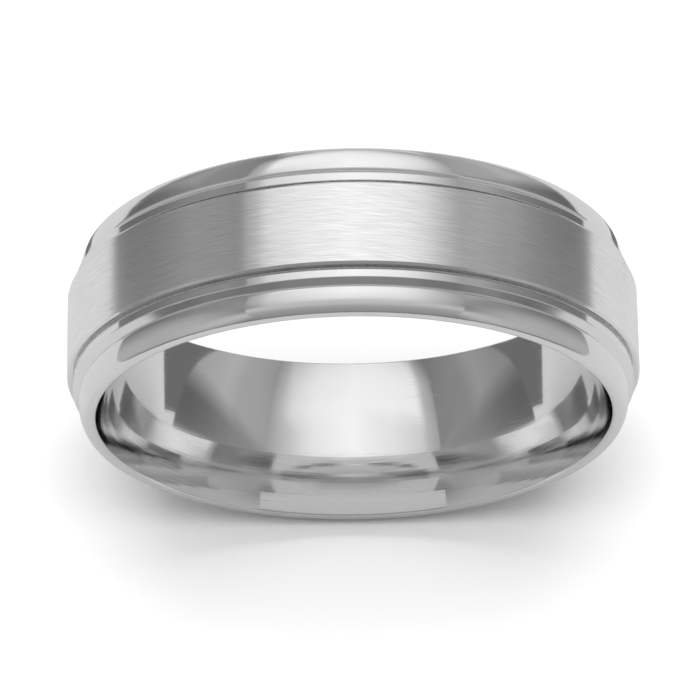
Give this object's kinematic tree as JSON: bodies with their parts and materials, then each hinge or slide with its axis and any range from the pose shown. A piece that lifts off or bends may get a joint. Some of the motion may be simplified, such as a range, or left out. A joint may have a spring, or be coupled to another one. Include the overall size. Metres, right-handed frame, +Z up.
{
  "type": "wedding band",
  "caption": "Comfort-fit wedding band with a raised satin centre and polished stepped, rounded edges.",
  "frame": {"origin": "centre of the bore, midway between the two side faces", "axes": "Y along the axis of the bore, the band standing on its rim with +Z up"},
  "size_m": [0.023, 0.007, 0.023],
  "materials": {
    "polished_liner": "mirror-polished white metal",
    "satin_centre": "satin, fine brush strokes round the band",
    "polished_edge": "mirror-polished white metal",
    "solder": "fine grey solder line, lightly pitted"
  },
  "bodies": {
    "root": {"liner": "polished_liner", "centre_band": "satin_centre", "front_edge_ring": "polished_edge", "rear_edge_ring": "polished_edge", "front_solder_seam": "solder", "rear_solder_seam": "solder"}
  },
  "joints": []
}
